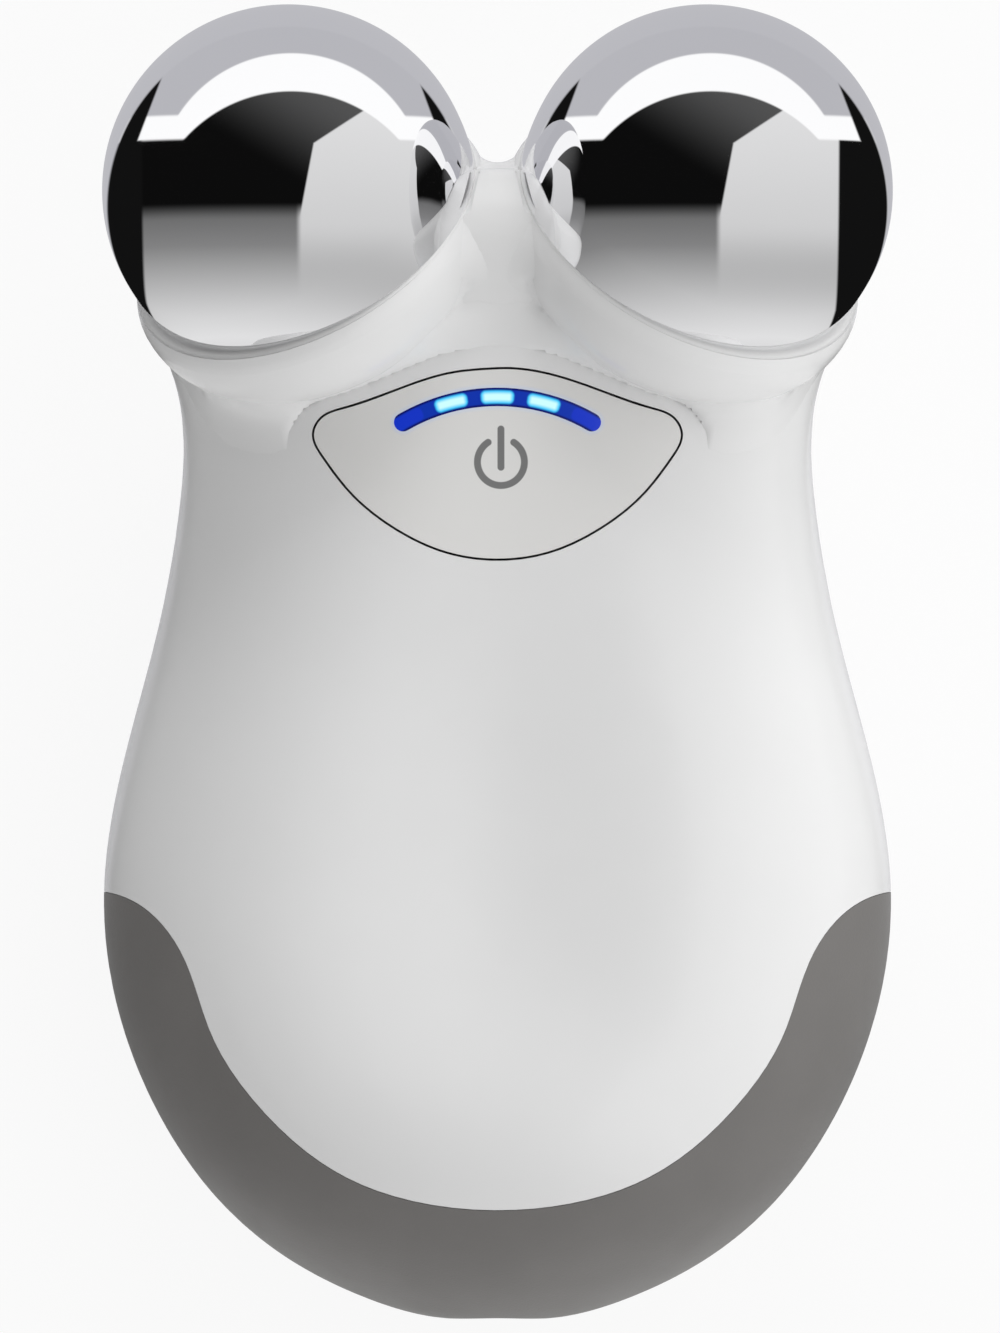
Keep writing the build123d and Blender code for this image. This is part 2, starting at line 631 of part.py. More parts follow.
def strap_screws():
    screws = []
    for x in (-STRAP_X, STRAP_X):
        head = upright(x, STRAP_HEIGHT, STRAP_TOP, STRAP_TOP + SMALL_SCREW_HEAD[1], SMALL_SCREW_HEAD[0])
        shank = upright(x, STRAP_HEIGHT, CELL_TOP - SMALL_SCREW_BITE, STRAP_TOP, SMALL_SCREW_RADIUS)
        screws.append(single(head + shank))
    return Compound(children=screws)


def case_screws():
    screws = []
    for hand in (-1, 1):
        x, height = hand * CASE_SCREW_PLACE[0], CASE_SCREW_PLACE[1]
        head = upright(x, height, CASE_SCREW_SEAT - CASE_SCREW_HEAD[1], CASE_SCREW_SEAT, CASE_SCREW_HEAD[0])
        shank = upright(x, height, CASE_SCREW_SEAT, PARTING + CASE_SCREW_BITE, CASE_SCREW_RADIUS)
        screws.append(single(head + shank))
    return Compound(children=screws)


# ---------------------------------------------------------------- charging inlet
def charge_jack():
    mouth = PORT_RECESS + PORT_LENGTH
    body = at(0, mouth + JACK_LENGTH / 2, PORT_LEVEL) * Box(JACK_SIZE, JACK_LENGTH, JACK_SIZE)
    body -= port_bar(JACK_BORE_RADIUS, mouth - 1, mouth + JACK_LENGTH - JACK_BACK)
    return body - port_bar(JACK_PIN_RADIUS, mouth, mouth + JACK_LENGTH + 1)


def charge_pin():
    mouth = PORT_RECESS + PORT_LENGTH
    return port_bar(JACK_PIN_RADIUS, mouth + JACK_PIN_SETBACK, mouth + JACK_LENGTH + 1)


# ---------------------------------------------------------------- leads
def lead(start, leave, end, arrive):
    """Round wire that leaves one face and arrives at another, square to both."""
    first, last = Vector(*start), Vector(*end)
    path = Bezier(first, first + Vector(*leave) * LEAD_BEND, last - Vector(*arrive) * LEAD_BEND, last)
    return sweep(Plane(origin=first, z_dir=Vector(*leave)) * Circle(LEAD_RADIUS), path=path)


def electrode_lead(hand):
    """Wire from the contact ring under an electrode to the top of the board."""
    place = electrode_place(hand)
    axis = place.z_dir
    downward = (Vector(0, -1, 0) + axis * axis.Y).normalized()
    ring_bottom = place.origin - axis * (UNDER_FLOOR_DROP + RING_THICKNESS)
    start = ring_bottom + downward * ELECTRODE_LEAD_OFFSET
    x, height = ELECTRODE_LEAD_END
    return lead(tuple(start), tuple(-axis), (hand * x, END + height, BOARD_TOP), (0, 0, -1))


def battery_leads():
    """Two wires from the end of the cell up to the socket under the board."""
    cell_end = END + CELL_LOW + CELL_SIZE[1]
    socket_bottom = BOARD_UNDERSIDE - SOCKET_SIZE[2]
    wires = [
        lead((x, cell_end, BATTERY_LEAD_LEVEL), (0, 1, 0), (x, END + SOCKET_PLACE[1], socket_bottom), (0, 0, 1))
        for x in BATTERY_LEADS
    ]
    return Compound(children=[single(wire) for wire in wires])


def charge_leads():
    """Two wires from the back of the charging jack to the underside of the board."""
    jack_back = END + PORT_RECESS + PORT_LENGTH + JACK_LENGTH
    wires = [
        lead((x, jack_back, CHARGE_LEAD_LEVEL), (0, 1, 0), (x, END + CHARGE_LEAD_END, BOARD_UNDERSIDE), (0, 0, 1))
        for x in (-CHARGE_LEAD_OFFSET, CHARGE_LEAD_OFFSET)
    ]
    return Compound(children=[single(wire) for wire in wires])


# ---------------------------------------------------------------- nodes
def nodes():
    blank = housing_blank()
    seal = shell_seal()
    pieces = {
        "front_shell": front_shell(blank),
        "rear_shell": rear_shell(blank, seal),
        "shell_seal": seal,
        "grip_cover": grip_cover(),
        "power_button": power_button(),
        "led_window": led_window(),
        "led_baffle": led_baffle(),
        "status_leds": status_leds(),
        "tactile_switch": tactile_switch(),
        "switch_plunger": switch_plunger(),
        "main_board": main_board(),
        "board_screws": board_screws(),
        "microcontroller": hung(*CHIP_PLACE, CHIP_SIZE),
        "boost_coil": hung_can(*COIL_PLACE, COIL_RADIUS, COIL_HEIGHT),
        "battery_socket": hung(*SOCKET_PLACE, SOCKET_SIZE),
        "buzzer": hung_can(*BUZZER_PLACE, BUZZER_RADIUS, BUZZER_HEIGHT),
        "output_capacitors": output_capacitors(),
        "battery_cell": battery_cell(),
        "battery_pad": battery_pad(),
        "battery_strap": battery_strap(),
        "strap_screws": strap_screws(),
        "case_screws": case_screws(),
        "charge_jack": charge_jack(),
        "charge_pin": charge_pin(),
        "electrode_screws": both_hands(electrode_screw),
        "electrode_leads": both_hands(electrode_lead),
        "battery_leads": battery_leads(),
        "charge_leads": charge_leads(),
    }
    for name, hand in (("left", -1), ("right", 1)):
        hole = ELECTRODE_SCREW_RADIUS + SCREW_GAP
        pieces[f"{name}_electrode"] = electrode(hand)
        seal_inner = SPIGOT_RADIUS - SPIGOT_WALL
        pieces[f"{name}_electrode_seal"] = washer(hand, SPIGOT_RADIUS, seal_inner, SPIGOT_DROP, FLOOR_DROP)
        ring_bottom = UNDER_FLOOR_DROP + RING_THICKNESS
        pieces[f"{name}_contact_ring"] = washer(hand, RING_RADIUS, hole, UNDER_FLOOR_DROP, ring_bottom)
    return pieces


os.makedirs("parts", exist_ok=True)
for node, piece in nodes().items():
    export_step(piece, f"parts/{node}.step")
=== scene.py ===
from itertools import product
from math import asin, cos, degrees, pi, radians, sin, sqrt

import bmesh
import bpy
import numpy as np
from mathutils import Matrix, Vector
from mathutils.bvhtree import BVHTree


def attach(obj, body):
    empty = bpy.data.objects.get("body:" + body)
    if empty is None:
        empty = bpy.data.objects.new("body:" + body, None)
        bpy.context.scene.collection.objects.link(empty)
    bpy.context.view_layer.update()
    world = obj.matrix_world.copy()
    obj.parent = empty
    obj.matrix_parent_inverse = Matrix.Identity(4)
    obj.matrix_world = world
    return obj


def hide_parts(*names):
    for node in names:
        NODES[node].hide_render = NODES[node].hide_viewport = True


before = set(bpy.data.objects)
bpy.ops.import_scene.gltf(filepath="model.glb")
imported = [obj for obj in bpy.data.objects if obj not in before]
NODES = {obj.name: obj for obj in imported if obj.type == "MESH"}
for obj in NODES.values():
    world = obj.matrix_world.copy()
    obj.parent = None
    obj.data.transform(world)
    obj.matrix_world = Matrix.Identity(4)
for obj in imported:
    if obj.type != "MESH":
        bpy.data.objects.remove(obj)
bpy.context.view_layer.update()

# Looks of the facial toning device: finishes for the CAD nodes, finer balls, rounded cup edges and soft blends
# round the cups, and the studio and camera of the photograph.

# ---------------------------------------------------------------- sizes, in metres
MM = 0.001

IMAGE_HEIGHT = 1333              # of the photograph, in pixels
MM_PER_PIXEL = 0.0865            # at VIEW_LEVEL
VIEW_CENTRE = (0.22 * MM, -0.30 * MM)
VIEW_DISTANCE = 2.5              # above the floor
VIEW_LEVEL = 30.5 * MM           # level of the electrodes' centres
VIEW_RANGE = (0.1, 20)           # nearest and farthest things that the camera shows
SENSOR = 36.0                    # along the picture's longer side, in millimetres

BALL_RADIUS = 16.1 * MM
BALL_CENTRE = Vector((18.1, 40.875, 30.5)) * MM      # of the right electrode
BALL_AXIS = Vector((0.41, 0.72, 0.56)).normalized()
SKIRT_DROP = 4.65 * MM           # drops are measured from the ball's centre, down its axis
SKIRT_RADIUS = 15.6 * MM
SPIGOT_RADIUS = 13.7 * MM
SPIGOT_DROP = 7.65 * MM
RIM_RADIUS = 16.05 * MM          # of the cup's outer edge
CUP_SHIFT = 0.5 * MM             # the cup stands this far to the outer, lower side of the electrode's axis
LIP_RISE = 0.25 * MM             # top of the cup's rounded edge above its rim
LIP_FALL = 0.35 * MM             # foot of the rounded edge below the rim
LIP_GAP = 0.02 * MM              # between the skirt and the rounded edge
LIP_WIDTH = 0.03 * MM            # least width of the rounded edge

ROUND_STEPS = 160                # corners of a circle round an electrode's axis
BALL_STEPS = 64                  # from the top of a ball to its middle
SKIRT_STEPS = 8
LIP_STEPS = 6
SHARP_ANGLE = radians(40)        # a sharper bend between faces is shown as an edge

PARTING = 11.0 * MM              # level of the joint between the two shells
PARTING_HALF = 0.07 * MM         # half of the joint's width
PARTING_SOFT = 0.03 * MM
ARC_CENTRE = (0.0, 6.695 * MM)   # of the arc of lights
ARC_RADIUS = 16.3 * MM
LIGHT_PITCH = radians(14.2)      # from one light to the next
LIGHT_HALF = (1.42 * MM, 0.56 * MM)      # half of a light's length and width
LIGHT_CORNER = 0.42 * MM
LIGHT_SOFT = 0.12 * MM
LIGHT_CORE = 0.2 * MM            # the pale core of a light is half gone this far out of its inner box
LIT_LIGHTS = 3
LAST_LIGHT = 2                   # the lights are counted from the middle one, which is 0
GUIDE_EDGE = (0.54 * MM, 0.68 * MM)      # the guide darkens between these distances from the arc
HALO_HALF = radians(30)          # half of the arc that glows
HALO_REACH = (0.8 * MM, 1.25 * MM)       # the glow fades between these distances from the arc
SIGN_CENTRE = (0.3 * MM, 17.37 * MM)
SIGN_RADIUS = 2.03 * MM
SIGN_STROKE = 0.30 * MM          # half of the sign's line width
SIGN_SOFT = 0.04 * MM
SIGN_BAR = (-0.45 * MM, 2.85 * MM)       # ends of the bar's middle line, up from the ring's centre
SIGN_GAP = radians(33)           # half of the opening at the top of the ring


# ---------------------------------------------------------------- shader helpers
def connect(tree, source, socket):
    """Links a socket to another node's socket, or sets it where the source is a plain value."""
    if isinstance(source, bpy.types.NodeSocket):
        tree.links.new(source, socket)
    else:
        socket.default_value = source


def add(tree, kind, links=None, **values):
    """A node of that kind, with its properties set and its inputs linked or set."""
    node = tree.nodes.new(kind)
    for name, value in values.items():
        setattr(node, name, value)
    for socket, source in (links or {}).items():
        connect(tree, source, node.inputs[socket])
    return node


def maths(tree, operation, first, second=0.0):
    return add(tree, "ShaderNodeMath", {0: first, 1: second}, operation=operation).outputs[0]


def vector_maths(tree, operation, first, second=(0, 0, 0), output="Vector"):
    return add(tree, "ShaderNodeVectorMath", {0: first, 1: second}, operation=operation).outputs[output]


def length(tree, vector):
    return vector_maths(tree, "LENGTH", vector, output="Value")


def axes_of(tree, vector):
    return add(tree, "ShaderNodeSeparateXYZ", {0: vector}).outputs


def flat_vector(tree, x, y):
    return add(tree, "ShaderNodeCombineXYZ", {0: x, 1: y}).outputs[0]


def clamp(tree, value, low, high):
    return add(tree, "ShaderNodeClamp", {0: value, 1: low, 2: high}).outputs[0]


def rise(tree, value, low, high, start=0.0, end=1.0, curve="SMOOTHSTEP"):
    """Step from start to end as value goes from low to high."""
    links = {"Value": value, "From Min": low, "From Max": high, "To Min": start, "To Max": end}
    return add(tree, "ShaderNodeMapRange", links, interpolation_type=curve).outputs[0]


def near(tree, distance, reach, soft):
    """1 where a distance is under reach, with a soft edge."""
    return rise(tree, distance, reach - soft, reach + soft, 1.0, 0.0)


def both(tree, first, second):
    return maths(tree, "MULTIPLY", first, second)


def either(tree, first, second):
    return maths(tree, "MAXIMUM", first, second)


def mix_colour(tree, share, first, second):
    return add(tree, "ShaderNodeMix", {0: share, 6: first, 7: second}, data_type="RGBA").outputs[2]


def grey(value):
    return (value, value, value, 1)


def as_colour(tree, value):
    return add(tree, "ShaderNodeCombineColor", {0: value, 1: value, 2: value}).outputs[0]


def object_place(tree):
    return add(tree, "ShaderNodeTexCoord").outputs["Object"]


def noise(tree, scale, detail=2.0):
    """Noise fixed to the object, with features of about 1 / scale metres."""
    links = {"Vector": object_place(tree), "Scale": scale, "Detail": detail}
    return add(tree, "ShaderNodeTexNoise", links).outputs[0]


def set_ramp(node, stops):
    """Grey stops of a colour ramp, as pairs of position and value."""
    ramp = node.color_ramp
    while len(ramp.elements) < len(stops):
        ramp.elements.new(1.0)
    for element, (position, value) in zip(ramp.elements, stops):
        element.position = position
        element.color = grey(value)


# ---------------------------------------------------------------- objects and meshes
def linked_object(name, data):
    item = bpy.data.objects.new(name, data)
    bpy.context.scene.collection.objects.link(item)
    return item


def smooth_mesh(name, points, faces, material):
    mesh = bpy.data.meshes.new(name)
    mesh.from_pydata(points, [], faces)
    mesh.update()
    for face in mesh.polygons:
        face.use_smooth = True
    mesh.materials.append(material)
    return mesh


# ---------------------------------------------------------------- studio
RIGHT_LIGHT = 1.30               # strength of the soft light from the right
END_LIGHT = 1.06                 # of the light from beyond the electrodes and from beyond the grip
FILL_LIGHT = 0.06                # from every side
LAMP_PLACE = Vector((0.10, 0.95, 0.40))
LAMP_SIZE = 0.4
LAMP_WATTS = 3.0
FLOOR_REACH = 6
FLOOR_GREY = 0.82
FLOOR_WHITE = 0.9                # share of plain white in the floor that the camera sees

# Gloss mirrors a studio of cards, laid out as a ball seen from straight above mirrors them: (0, 0) is
# straight up, a radius of 0.71 is the horizon and 1 is straight down. A straight edge is (x, y, reach, soft):
# the direction across it, how far that way it stands and half the width over which it fades. A round edge is
# (x, y, radius, soft). A NEAR edge lies towards the grip's end and a FAR edge towards the electrodes' end. A
# shade runs over its SPAN from the first of its GREYS to the second. The backdrop's greys come as pairs of
# place and grey, where the place goes from 0 at the grip's end of the disc to 1 at the other.
BACKDROP_GREYS = ((0.0, 0.55), (0.12, 0.80), (0.24, 0.50), (0.35, 0.24), (0.44, 0.15))
PANEL_NEAR = (0, 1, -0.42, 0.25)
PANEL_LEFT = (1, 0, 0.06, 0.02)
PANEL_SPAN = (-0.4, 0.5)
PANEL_GREYS = (0.62, 0.80)
DARK_SLANT = (-0.556, 0.831, 0.1266, 0.006)
DARK_SIDE = (-0.983, 0.183, -0.0926, 0.006)
DARK_NEAR = (0, 1, -0.12, 0.05)
DARK_AXIS = (0.5, 0.8)
DARK_SPAN = (0.05, 0.55)
DARK_GREYS = (0.004, 0.09)
WALL_NEAR = (0, 1, 0.27, 0.01)
WALL_ROUND = (0.02, -0.25, 0.775, 0.006)
WALL_GREY = 1.05
GROUND_NEAR = (0, 1, 0.40, 0.01)
GROUND_ROUND = (0.02, 0.01, 0.72, 0.006)
GROUND_COLOUR = (0.50, 0.50, 0.53, 1)
CARD_FAR = (0, -1, -0.27, 0.006)
RIGHT_CARD = ((0.931, 0.364, 0.862, 0.006), (1, 0, 0.705, 0.008))
LEFT_CARD = ((-0.931, 0.364, 0.846, 0.006), (-1, 0, 0.78, 0.01))
CARD_GREY = 0.006
OUTER_ROUND = (0, -0.1, 0.975, 0.008)
OUTER_COLOUR = (0.52, 0.52, 0.55, 1)


def make_camera():
    data = bpy.data.cameras.new("camera")
    data.sensor_width = SENSOR
    data.lens = SENSOR * (VIEW_DISTANCE - VIEW_LEVEL) / (IMAGE_HEIGHT * MM_PER_PIXEL * MM)
    data.clip_start, data.clip_end = VIEW_RANGE
    camera = linked_object("camera", data)
    camera.location = (*VIEW_CENTRE, VIEW_DISTANCE)
    bpy.context.scene.camera = camera


def make_floor():
    """Pale floor that keeps the object's shadow and is all but white to the camera."""
    reach = FLOOR_REACH
    mesh = bpy.data.meshes.new("floor")
    corners = [(-reach, -reach, 0), (reach, -reach, 0), (reach, reach, 0), (-reach, reach, 0)]
    mesh.from_pydata(corners, [], [(0, 1, 2, 3)])
    floor = linked_object("floor", mesh)
    material = bpy.data.materials.new("floor")
    material.use_nodes = True
    tree = material.node_tree
    tree.nodes.clear()
    path = add(tree, "ShaderNodeLightPath")
    lit = add(tree, "ShaderNodeBsdfDiffuse", {"Color": grey(FLOOR_GREY)}).outputs[0]
    bright = add(tree, "ShaderNodeEmission", {"Color": grey(1), "Strength": 1.0}).outputs[0]
    share = maths(tree, "MULTIPLY", path.outputs["Is Camera Ray"], FLOOR_WHITE)
    shown = add(tree, "ShaderNodeMixShader", {0: share, 1: lit, 2: bright}).outputs[0]
    add(tree, "ShaderNodeOutputMaterial", {0: shown})
    mesh.materials.append(material)
    floor.visible_glossy = False


def make_lamp():
    """Low soft box beyond the electrodes, which lights the saddle between them."""
    data = bpy.data.lights.new("far_soft_box", "AREA")
    data.size = LAMP_SIZE
    data.energy = LAMP_WATTS
    lamp = linked_object("far_soft_box", data)
    lamp.location = LAMP_PLACE
    lamp.rotation_euler = LAMP_PLACE.to_track_quat("Z", "Y").to_euler()
    lamp.visible_glossy = False


def along(tree, place, x, y):
    return vector_maths(tree, "DOT_PRODUCT", place, (x, y, 0), "Value")


def past_edge(tree, place, edge):
    x, y, reach, soft = edge
    return rise(tree, along(tree, place, x, y), reach - soft, reach + soft)


def inside_round(tree, place, edge):
    x, y, radius, soft = edge
    return near(tree, vector_maths(tree, "DISTANCE", place, (x, y, 0), "Value"), radius, soft)


def outside_round(tree, place, edge):
    return maths(tree, "SUBTRACT", 1.0, inside_round(tree, place, edge))


def backdrop(tree, place):
    """Grey backdrop, palest low down at the grip's end."""
    height = rise(tree, along(tree, place, 0, 1), -1, 1, curve="LINEAR")
    ramp = add(tree, "ShaderNodeValToRGB", {0: height})
    set_ramp(ramp, BACKDROP_GREYS)
    return ramp.outputs[0]


def pale_panel(tree, place):
    """Panel on the right."""
    mask = both(tree, past_edge(tree, place, PANEL_NEAR), past_edge(tree, place, PANEL_LEFT))
    shade = rise(tree, along(tree, place, 0, 1), *PANEL_SPAN, *PANEL_GREYS, "LINEAR")
    return mask, as_colour(tree, shade)


def dark_room(tree, place):
    """Unlit part of the studio on the left."""
    reach = either(tree, past_edge(tree, place, DARK_SLANT), past_edge(tree, place, DARK_SIDE))
    mask = both(tree, reach, past_edge(tree, place, DARK_NEAR))
    return mask, as_colour(tree, rise(tree, along(tree, place, *DARK_AXIS), *DARK_SPAN, *DARK_GREYS))


def bright_wall(tree, place):
    """Wall of light beyond the electrodes."""
    mask = both(tree, outside_round(tree, place, WALL_ROUND), past_edge(tree, place, WALL_NEAR))
    return mask, grey(WALL_GREY)


def far_ground(tree, place):
    """Ground at the foot of the bright wall."""
    mask = both(tree, outside_round(tree, place, GROUND_ROUND), past_edge(tree, place, GROUND_NEAR))
    return mask, GROUND_COLOUR


def black_card(tree, place, slant, side):
    """Card that reaches past its slanting edge, and past its side edge where that is nearer than CARD_FAR."""
    upright = both(tree, past_edge(tree, place, side), past_edge(tree, place, CARD_FAR))
    return either(tree, past_edge(tree, place, slant), upright)


def black_cards(tree, place):
    """Cards on both sides, which darken the sides of the balls."""
    cards = either(tree, black_card(tree, place, *RIGHT_CARD), black_card(tree, place, *LEFT_CARD))
    return both(tree, inside_round(tree, place, OUTER_ROUND), cards), grey(CARD_GREY)


def ground_below(tree, place):
    """Ground below the object, mirrored at the very edges of the balls."""
    return outside_round(tree, place, OUTER_ROUND), OUTER_COLOUR


def studio_reflection(tree, direction):
    """Colour of the studio's walls and cards, which only mirrors and gloss see."""
    half = vector_maths(tree, "ADD", direction, (0, 0, 1))
    place = vector_maths(tree, "MULTIPLY", vector_maths(tree, "NORMALIZE", half), (1, 1, 0))
    colour = backdrop(tree, place)
    for layer in (pale_panel, dark_room, bright_wall, far_ground, black_cards, ground_below):
        mask, laid = layer(tree, place)
        colour = mix_colour(tree, mask, colour, laid)
    return colour


def make_world():
    """Soft light from the right and from both ends, and the studio that gloss mirrors."""
    world = bpy.data.worlds.new("studio")
    bpy.context.scene.world = world
    world.use_nodes = True
    tree = world.node_tree
    tree.nodes.clear()
    path = add(tree, "ShaderNodeLightPath").outputs
    direction = add(tree, "ShaderNodeTexCoord").outputs["Generated"]
    axes = axes_of(tree, direction)
    from_right = maths(tree, "MULTIPLY", maths(tree, "MAXIMUM", axes["X"], 0.0), RIGHT_LIGHT)
    from_ends = maths(tree, "MULTIPLY", maths(tree, "ABSOLUTE", axes["Y"]), END_LIGHT)
    level = maths(tree, "ADD", maths(tree, "ADD", from_right, from_ends), FILL_LIGHT)
    plain = mix_colour(tree, path["Is Camera Ray"], as_colour(tree, level), grey(1.0))
    colour = mix_colour(tree, path["Is Glossy Ray"], plain, studio_reflection(tree, direction))
    background = add(tree, "ShaderNodeBackground", {"Color": colour, "Strength": 1.0}).outputs[0]
    add(tree, "ShaderNodeOutputWorld", {0: background})


# ---------------------------------------------------------------- materials
MOTTLE_SCALE = 90
MOTTLE_RANGE = (0.3, 0.7)        # of the noise, from the darkest to the lightest mottle
GLOSS_SCALE = 160
GLOSS_DETAIL = 3
GLOSS_RANGE = (0.25, 0.75)       # of the noise, from the glossiest to the dullest place

PARTING_COLOUR = (0.18, 0.175, 0.17, 1)
SIGN_GREY = 0.205
# Painted blue glow laid into the button's colour round the light window.
HALO_COLOUR = (0.62, 0.72, 0.95, 1)
HALO_SHARE = 0.55
# The guide and its unlit windows shine by emission: a painted blue glow, not lit by the studio.
GUIDE_GLOW_COLOUR = (0.003, 0.028, 0.36, 1)
GUIDE_EDGE_GLOW_COLOUR = (0.002, 0.004, 0.11, 1)
UNLIT_GLOW_COLOUR = (0.006, 0.03, 0.50, 1)
LIT_COLOUR = (0.06, 0.62, 0.98, 1)
LIT_CORE_COLOUR = (0.62, 1.0, 1.0, 1)
TRACK_SCALE = 900.0
TRACK_WAVER = 2.0
TRACK_RANGE = (0.75, 0.85)       # of the bands, from bare lacquer to copper
TRACK_COLOUR = (0.03, 0.24, 0.09, 1)


def moulded(name, colour, roughness, spread=0.04, scale=700, bump=0.002, mottle=0.02, **sockets):
    """Moulded plastic, rubber or metal: uneven gloss, a fine skin and slight mottling.

    bump is the depth of the skin in millimetres; sockets are other constant inputs of the shader."""
    material = bpy.data.materials.new(name)
    material.use_nodes = True
    tree = material.node_tree
    shader = tree.nodes["Principled BSDF"]
    for socket, value in sockets.items():
        shader.inputs[socket.replace("_", " ")].default_value = value
    darker = tuple(part * (1 - mottle) for part in colour) + (1,)
    lighter = tuple(min(1.0, part * (1 + mottle)) for part in colour) + (1,)
    tint = mix_colour(tree, rise(tree, noise(tree, MOTTLE_SCALE), *MOTTLE_RANGE), darker, lighter)
    unevenness = noise(tree, GLOSS_SCALE, GLOSS_DETAIL)
    gloss = rise(tree, unevenness, *GLOSS_RANGE, roughness - spread, roughness + spread)
    skin = add(tree, "ShaderNodeBump", {"Height": noise(tree, scale), "Strength": 1.0, "Distance": bump * MM})
    tree.links.new(tint, shader.inputs["Base Color"])
    tree.links.new(gloss, shader.inputs["Roughness"])
    tree.links.new(skin.outputs[0], shader.inputs["Normal"])
    return material


def recolour(material, share, colour):
    """Lays a colour over the material's own where share is 1."""
    tree = material.node_tree
    socket = tree.nodes["Principled BSDF"].inputs["Base Color"]
    below = socket.links[0].from_socket
    tree.links.new(mix_colour(tree, share, below, colour), socket)


def paint_parting_line(material):
    """Hairline joint between the two shells."""
    tree = material.node_tree
    level = axes_of(tree, object_place(tree))["Z"]
    offset = maths(tree, "ABSOLUTE", maths(tree, "SUBTRACT", level, PARTING))
    recolour(material, near(tree, offset, PARTING_HALF, PARTING_SOFT), PARTING_COLOUR)


def paint_sign(material):
    """Printed standby sign: a ring open at the top, with a bar in the opening."""
    tree = material.node_tree
    axes = axes_of(tree, vector_maths(tree, "SUBTRACT", object_place(tree), (*SIGN_CENTRE, 0)))
    side = maths(tree, "ABSOLUTE", axes["X"])
    up = axes["Y"]
    flat = flat_vector(tree, side, up)
    radius = length(tree, flat)
    from_ring = maths(tree, "ABSOLUTE", maths(tree, "SUBTRACT", radius, SIGN_RADIUS))
    over_gap = maths(tree, "GREATER_THAN", up, maths(tree, "MULTIPLY", radius, cos(SIGN_GAP)))
    from_ring = maths(tree, "ADD", from_ring, over_gap)
    ring_end = (SIGN_RADIUS * sin(SIGN_GAP), SIGN_RADIUS * cos(SIGN_GAP), 0)
    from_end = vector_maths(tree, "DISTANCE", flat, ring_end, "Value")
    bar_place = flat_vector(tree, 0.0, clamp(tree, up, *SIGN_BAR))
    from_bar = vector_maths(tree, "DISTANCE", flat, bar_place, "Value")
    nearest = maths(tree, "MINIMUM", maths(tree, "MINIMUM", from_ring, from_end), from_bar)
    recolour(material, near(tree, nearest, SIGN_STROKE, SIGN_SOFT), grey(SIGN_GREY))


def arc_place(tree):
    """Distance along the arc of lights from its middle, as an angle, and radial distance from its line."""
    place = vector_maths(tree, "SUBTRACT", object_place(tree), (*ARC_CENTRE, 0))
    axes = axes_of(tree, place)
    angle = maths(tree, "ARCTAN2", axes["X"], axes["Y"])
    radius = length(tree, vector_maths(tree, "MULTIPLY", place, (1, 1, 0)))
    return angle, maths(tree, "SUBTRACT", radius, ARC_RADIUS)


def paint_halo(material):
    """Blue light that leaks into the plate round the window, painted into the plate's colour."""
    tree = material.node_tree
    angle, offset = arc_place(tree)
    past_end = maths(tree, "SUBTRACT", maths(tree, "ABSOLUTE", angle), HALO_HALF)
    past_end = maths(tree, "MULTIPLY", maths(tree, "MAXIMUM", past_end, 0.0), ARC_RADIUS)
    distance = length(tree, flat_vector(tree, offset, past_end))
    recolour(material, rise(tree, distance, *HALO_REACH, HALO_SHARE, 0.0), HALO_COLOUR)


def light_place(tree):
    """The nearest light's index, the distance from its inner box, and the distance from the arc."""
    angle, offset = arc_place(tree)
    steps = maths(tree, "DIVIDE", angle, LIGHT_PITCH)
    index = clamp(tree, maths(tree, "ROUND", steps), -LAST_LIGHT, LAST_LIGHT)
    aside = maths(tree, "MULTIPLY", maths(tree, "SUBTRACT", steps, index), LIGHT_PITCH * ARC_RADIUS)
    flat = vector_maths(tree, "ABSOLUTE", flat_vector(tree, aside, offset))
    inner_box = (LIGHT_HALF[0] - LIGHT_CORNER, LIGHT_HALF[1] - LIGHT_CORNER, 0)
    flat = vector_maths(tree, "MAXIMUM", vector_maths(tree, "SUBTRACT", flat, inner_box))
    return index, length(tree, flat), maths(tree, "ABSOLUTE", offset)


def light_window():
    """Deep blue light guide, five windows, middle three lit; the guide and unlit windows have a painted glow.
    """
    material = moulded("blue_light_guide", (0.002, 0.006, 0.05), 0.2, Emission_Strength=1.0)
    tree = material.node_tree
    index, distance, from_arc = light_place(tree)
    lit = maths(tree, "LESS_THAN", maths(tree, "ABSOLUTE", index), LIT_LIGHTS / 2)
    core = near(tree, distance, LIGHT_CORE, LIGHT_CORE)
    light = mix_colour(tree, lit, UNLIT_GLOW_COLOUR, mix_colour(tree, core, LIT_COLOUR, LIT_CORE_COLOUR))
    guide = mix_colour(tree, rise(tree, from_arc, *GUIDE_EDGE), GUIDE_GLOW_COLOUR, GUIDE_EDGE_GLOW_COLOUR)
    shown = mix_colour(tree, near(tree, distance, LIGHT_CORNER, LIGHT_SOFT), guide, light)
    tree.links.new(shown, tree.nodes["Principled BSDF"].inputs["Emission Color"])
    return material


def circuit_board():
    """Green board with rows of copper tracks under its lacquer."""
    material = moulded("green_board", (0.012, 0.13, 0.05), 0.35, mottle=0.1)
    tree = material.node_tree
    links = {"Vector": object_place(tree), "Scale": TRACK_SCALE, "Distortion": TRACK_WAVER}
    tracks = add(tree, "ShaderNodeTexWave", links, wave_type="BANDS", bands_direction="X").outputs["Fac"]
    recolour(material, rise(tree, tracks, *TRACK_RANGE), TRACK_COLOUR)
    return material


def finish_node(node, material):
    mesh = NODES[node].data
    mesh.materials.clear()
    mesh.materials.append(material)


# ---------------------------------------------------------------- electrodes
def turned_ring(form, radius, level):
    """Corners of a circle about local Z, or the single one where it shrinks to the axis."""
    count = 1 if radius == 0 else ROUND_STEPS
    turns = [2 * pi * step / ROUND_STEPS for step in range(count)]
    return [form.verts.new((radius * cos(turn), radius * sin(turn), level)) for turn in turns]


